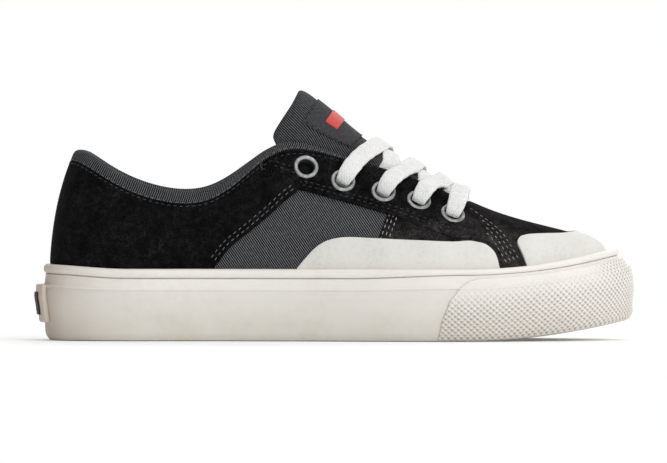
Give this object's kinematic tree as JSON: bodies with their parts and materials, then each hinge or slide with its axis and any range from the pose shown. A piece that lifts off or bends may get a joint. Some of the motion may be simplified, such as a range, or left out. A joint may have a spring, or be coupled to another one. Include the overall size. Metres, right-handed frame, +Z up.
{
  "type": "skateboarding shoe",
  "caption": "Low lace-up skateboarding shoe for the right foot, with a vulcanised cupped side wall, textured toe bumper, padded collar, tongue and flat laces.",
  "frame": {"origin": "on the floor, midway along the shoe's length and across its width", "axes": "+X from heel to toe, -Y to the outer (lateral) side, +Z up"},
  "size_m": [0.2992, 0.1128, 0.1245],
  "materials": {
    "sole_rubber": "off-white matt sole rubber",
    "heel_label": "dark plain label rubber",
    "insole": "black cloth over foam",
    "canvas": "charcoal twill canvas",
    "suede": "black suede",
    "guard": "off-white rubberised suede",
    "eyelet": "satin metal",
    "lace": "white flat cotton lace"
  },
  "bodies": {
    "root": {"outsole": "sole_rubber", "midsole": "sole_rubber", "foxing": "sole_rubber", "foxing_strip": "sole_rubber", "toe_bumper": "sole_rubber", "heel_tab": "sole_rubber", "heel_label": "heel_label", "insole": "insole", "upper": "canvas", "quarter_panel": "suede", "collar_binding": "canvas", "eyestay_lateral": "suede", "eyestay_medial": "suede", "side_guard_lateral": "guard", "side_guard_medial": "guard", "toe_cap": "guard", "tongue": "canvas", "eyelet_lateral_1": "eyelet", "eyelet_lateral_2": "eyelet", "eyelet_lateral_3": "eyelet", "eyelet_lateral_4": "eyelet", "eyelet_lateral_5": "eyelet", "eyelet_medial_1": "eyelet", "eyelet_medial_2": "eyelet", "eyelet_medial_3": "eyelet", "eyelet_medial_4": "eyelet", "eyelet_medial_5": "eyelet", "lace_bar": "lace", "lace_crossing_1": "lace", "lace_crossing_2": "lace", "lace_crossing_3": "lace"}
  },
  "joints": []
}
